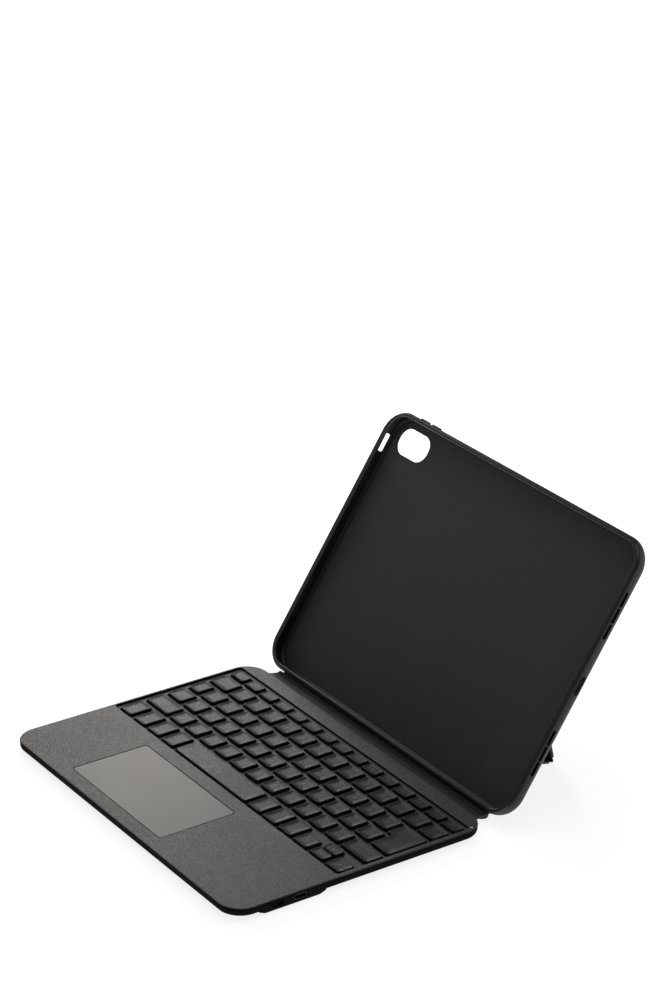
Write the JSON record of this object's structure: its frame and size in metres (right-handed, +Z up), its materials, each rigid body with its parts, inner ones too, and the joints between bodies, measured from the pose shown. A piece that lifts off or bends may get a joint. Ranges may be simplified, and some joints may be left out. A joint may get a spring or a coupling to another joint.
{
  "type": "tablet keyboard case",
  "caption": "Tablet case with a moulded tray, a folding stand with pencil loop on its back, a soft spine and a slim keyboard with trackpad, open for typing.",
  "frame": {"origin": "on the table under the middle of the open case's box", "axes": "+X to the user's right, +Y away from the user, +Z up"},
  "size_m": [0.255, 0.2942, 0.1609],
  "materials": {
    "deck_skin": "soft-touch grained polyurethane skin, fine speckle, matte",
    "shell": "fine moulded texture, matte",
    "keycap": "dished caps with a soft satin coat",
    "key_plate": "black, matte",
    "trackpad": "satin smooth",
    "tray": "soft moulded elastomer, fine matte texture",
    "tray_back": "soft-touch coat, matte",
    "lining": "short brushed microfibre",
    "panel_skin": "grained polyurethane skin over a board, pressed edges",
    "fold_skin": "thin polyurethane skin",
    "loop_weave": "ribbed woven elastic",
    "steel": "bright",
    "magnet": "nickel plated",
    "circuit": "lacquered board",
    "cell": "foil pouch",
    "foot_rubber": "matte",
    "light": "clear window, white light"
  },
  "bodies": {
    "keyboard": {"keyboard_top_deck": "deck_skin", "keyboard_bottom_shell": "shell", "case_screw_1": "steel", "case_screw_2": "steel", "case_screw_3": "steel", "case_screw_4": "steel", "foot_front_strip": "foot_rubber", "foot_rear_left": "foot_rubber", "foot_rear_right": "foot_rubber", "key_support_plate": "key_plate", "trackpad_click_switch": "steel", "battery_left": "cell", "battery_right": "cell", "main_circuit_board": "circuit", "usb_c_socket": "steel", "status_light_lens": "light", "spine_skin_keyboard": "fold_skin"},
    "spine": {"spine_bar": "fold_skin", "spine_skin_tray": "fold_skin"},
    "tray": {"tray_bumper": "tray", "tray_back_shell": "tray_back", "steel_catch_plate": "steel", "tray_lining": "lining", "stand_fixed_strip": "panel_skin", "fold_skin_lower": "fold_skin"},
    "stand_lower": {"stand_lower_panel": "panel_skin", "fold_skin_main": "fold_skin"},
    "stand_main": {"stand_main_panel": "panel_skin", "pencil_loop": "loop_weave", "fold_skin_latch": "fold_skin"},
    "stand_latch": {"stand_latch_panel": "panel_skin", "latch_magnet_left": "magnet", "latch_magnet_right": "magnet"},
    "volume_up": {"volume_up_pad": "tray"},
    "volume_down": {"volume_down_pad": "tray"},
    "trackpad": {"trackpad_plate": "trackpad"},
    "power_switch": {"power_switch_slider": "foot_rubber"},
    "press_function_row": {"keys_function_row": "keycap"},
    "press_number_row": {"keys_number_row": "keycap"},
    "press_grave": {"key_grave": "keycap"},
    "press_backspace": {"key_backspace": "keycap"},
    "press_upper_letter_row": {"keys_upper_letter_row": "keycap"},
    "press_tab": {"key_tab": "keycap"},
    "press_home_letter_row": {"keys_home_letter_row": "keycap"},
    "press_caps_lock": {"key_caps_lock": "keycap"},
    "press_lower_letter_row": {"keys_lower_letter_row": "keycap"},
    "press_shift_left": {"key_shift_left": "keycap"},
    "press_shift_right": {"key_shift_right": "keycap"},
    "press_modifier_left": {"keys_modifier_left": "keycap"},
    "press_space": {"key_space": "keycap"},
    "press_modifier_right": {"keys_modifier_right": "keycap"},
    "press_enter": {"key_enter": "keycap"},
    "press_arrow_left": {"key_arrow_left": "keycap"},
    "press_arrow_up": {"key_arrow_up": "keycap"},
    "press_arrow_down": {"key_arrow_down": "keycap"},
    "press_arrow_right": {"key_arrow_right": "keycap"}
  },
  "joints": [
    {"name": "case_fold_spine", "type": "hinge", "parent": "keyboard", "child": "spine", "pos_m": [0, 0.0332, 0.005], "axis": [1, 0, 0], "range_deg": [0, 69.3], "deforming": ["spine_skin_keyboard"]},
    {"name": "case_fold_tray", "type": "hinge", "parent": "spine", "child": "tray", "pos_m": [0, 0.04161, 0.00369], "axis": [1, 0, 0], "range_deg": [0, 53.96], "deforming": ["spine_skin_tray"]},
    {"name": "stand_fold_lower", "type": "hinge", "parent": "tray", "child": "stand_lower", "pos_m": [0, 0.05881, 0.01608], "axis": [1, 0, 0], "range_deg": [0, 70.99], "deforming": ["fold_skin_lower"]},
    {"name": "stand_fold_main", "type": "hinge", "parent": "stand_lower", "child": "stand_main", "pos_m": [0, 0.11843, 0.00097], "axis": [1, 0, 0], "range_deg": [-118.48, 0], "deforming": ["fold_skin_main"]},
    {"name": "stand_fold_latch", "type": "hinge", "parent": "stand_main", "child": "stand_latch", "pos_m": [0, 0.09903, 0.07745], "axis": [1, 0, 0], "range_deg": [0, 47.49], "deforming": ["fold_skin_latch"]},
    {"name": "press_volume_up", "type": "slide", "parent": "tray", "child": "volume_up", "axis": [0, -0.5481, -0.8364], "range_m": [0, 0.0005], "stiffness_N_per_m": 1500},
    {"name": "press_volume_down", "type": "slide", "parent": "tray", "child": "volume_down", "axis": [0, -0.5481, -0.8364], "range_m": [0, 0.0005], "stiffness_N_per_m": 1500},
    {"name": "switch_power_slide", "type": "slide", "parent": "keyboard", "child": "power_switch", "axis": [0, 1, 0], "range_m": [0, 0.0024]},
    {"name": "trackpad_click", "type": "slide", "parent": "keyboard", "child": "trackpad", "axis": [0, 0, -1], "range_m": [0, 0.00025], "stiffness_N_per_m": 4000, "springref_m": -0.0001},
    {"name": "travel_function_row", "type": "slide", "parent": "keyboard", "child": "press_function_row", "axis": [0, 0, -1], "range_m": [0, 0.001], "stiffness_N_per_m": 500, "springref_m": -0.0003},
    {"name": "travel_number_row", "type": "slide", "parent": "keyboard", "child": "press_number_row", "axis": [0, 0, -1], "range_m": [0, 0.001], "stiffness_N_per_m": 500, "springref_m": -0.0003},
    {"name": "travel_grave", "type": "slide", "parent": "keyboard", "child": "press_grave", "axis": [0, 0, -1], "range_m": [0, 0.001], "stiffness_N_per_m": 500, "springref_m": -0.0003},
    {"name": "travel_backspace", "type": "slide", "parent": "keyboard", "child": "press_backspace", "axis": [0, 0, -1], "range_m": [0, 0.001], "stiffness_N_per_m": 500, "springref_m": -0.0003},
    {"name": "travel_upper_letter_row", "type": "slide", "parent": "keyboard", "child": "press_upper_letter_row", "axis": [0, 0, -1], "range_m": [0, 0.001], "stiffness_N_per_m": 500, "springref_m": -0.0003},
    {"name": "travel_tab", "type": "slide", "parent": "keyboard", "child": "press_tab", "axis": [0, 0, -1], "range_m": [0, 0.001], "stiffness_N_per_m": 500, "springref_m": -0.0003},
    {"name": "travel_home_letter_row", "type": "slide", "parent": "keyboard", "child": "press_home_letter_row", "axis": [0, 0, -1], "range_m": [0, 0.001], "stiffness_N_per_m": 500, "springref_m": -0.0003},
    {"name": "travel_caps_lock", "type": "slide", "parent": "keyboard", "child": "press_caps_lock", "axis": [0, 0, -1], "range_m": [0, 0.001], "stiffness_N_per_m": 500, "springref_m": -0.0003},
    {"name": "travel_lower_letter_row", "type": "slide", "parent": "keyboard", "child": "press_lower_letter_row", "axis": [0, 0, -1], "range_m": [0, 0.001], "stiffness_N_per_m": 500, "springref_m": -0.0003},
    {"name": "travel_shift_left", "type": "slide", "parent": "keyboard", "child": "press_shift_left", "axis": [0, 0, -1], "range_m": [0, 0.001], "stiffness_N_per_m": 500, "springref_m": -0.0003},
    {"name": "travel_shift_right", "type": "slide", "parent": "keyboard", "child": "press_shift_right", "axis": [0, 0, -1], "range_m": [0, 0.001], "stiffness_N_per_m": 500, "springref_m": -0.0003},
    {"name": "travel_modifier_left", "type": "slide", "parent": "keyboard", "child": "press_modifier_left", "axis": [0, 0, -1], "range_m": [0, 0.001], "stiffness_N_per_m": 500, "springref_m": -0.0003},
    {"name": "travel_space", "type": "slide", "parent": "keyboard", "child": "press_space", "axis": [0, 0, -1], "range_m": [0, 0.001], "stiffness_N_per_m": 500, "springref_m": -0.0003},
    {"name": "travel_modifier_right", "type": "slide", "parent": "keyboard", "child": "press_modifier_right", "axis": [0, 0, -1], "range_m": [0, 0.001], "stiffness_N_per_m": 500, "springref_m": -0.0003},
    {"name": "travel_enter", "type": "slide", "parent": "keyboard", "child": "press_enter", "axis": [0, 0, -1], "range_m": [0, 0.001], "stiffness_N_per_m": 500, "springref_m": -0.0003},
    {"name": "travel_arrow_left", "type": "slide", "parent": "keyboard", "child": "press_arrow_left", "axis": [0, 0, -1], "range_m": [0, 0.001], "stiffness_N_per_m": 500, "springref_m": -0.0003},
    {"name": "travel_arrow_up", "type": "slide", "parent": "keyboard", "child": "press_arrow_up", "axis": [0, 0, -1], "range_m": [0, 0.001], "stiffness_N_per_m": 500, "springref_m": -0.0003},
    {"name": "travel_arrow_down", "type": "slide", "parent": "keyboard", "child": "press_arrow_down", "axis": [0, 0, -1], "range_m": [0, 0.001], "stiffness_N_per_m": 500, "springref_m": -0.0003},
    {"name": "travel_arrow_right", "type": "slide", "parent": "keyboard", "child": "press_arrow_right", "axis": [0, 0, -1], "range_m": [0, 0.001], "stiffness_N_per_m": 500, "springref_m": -0.0003}
  ],
  "couplings": [
    {"joint": "stand_fold_main", "follows": "stand_fold_lower", "ratio": -1.6687},
    {"joint": "stand_fold_latch", "follows": "stand_fold_lower", "ratio": 0.66874}
  ]
}
